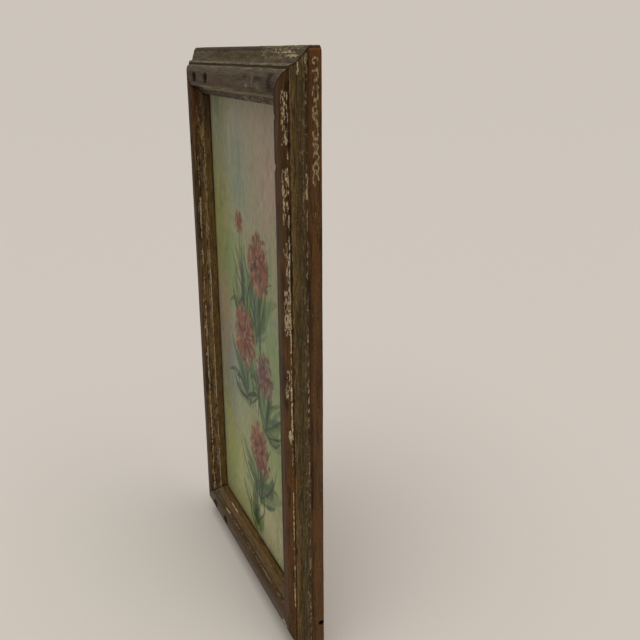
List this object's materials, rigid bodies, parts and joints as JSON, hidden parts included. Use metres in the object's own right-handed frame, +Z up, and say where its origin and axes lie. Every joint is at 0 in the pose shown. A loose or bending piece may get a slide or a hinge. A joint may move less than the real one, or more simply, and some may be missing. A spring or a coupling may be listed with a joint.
{
  "type": "framed porcelain tile painting",
  "caption": "Tall glazed porcelain tile painted with ruffled flowers, held in a worn mitred wooden frame that hangs flat on a wall.",
  "frame": {"origin": "middle of the backing panel's flat back, which lies against the wall", "axes": "+Z up along the tall side, -Y toward the viewer out of the painting, +Y into the wall, +X to the viewer's right"},
  "size_m": [0.207, 0.0197, 0.356],
  "materials": {
    "frame_wood": "worn paint over wood",
    "tile": "glossy glaze",
    "backing_panel": "bare, dull",
    "brads": "dull"
  },
  "bodies": {
    "root": {"top_rail": "frame_wood", "bottom_rail": "frame_wood", "left_stile": "frame_wood", "right_stile": "frame_wood", "tile": "tile", "backing_panel": "backing_panel", "brad_1": "brads", "brad_2": "brads", "brad_3": "brads", "brad_4": "brads", "brad_5": "brads", "brad_6": "brads", "brad_7": "brads", "brad_8": "brads"}
  },
  "joints": []
}
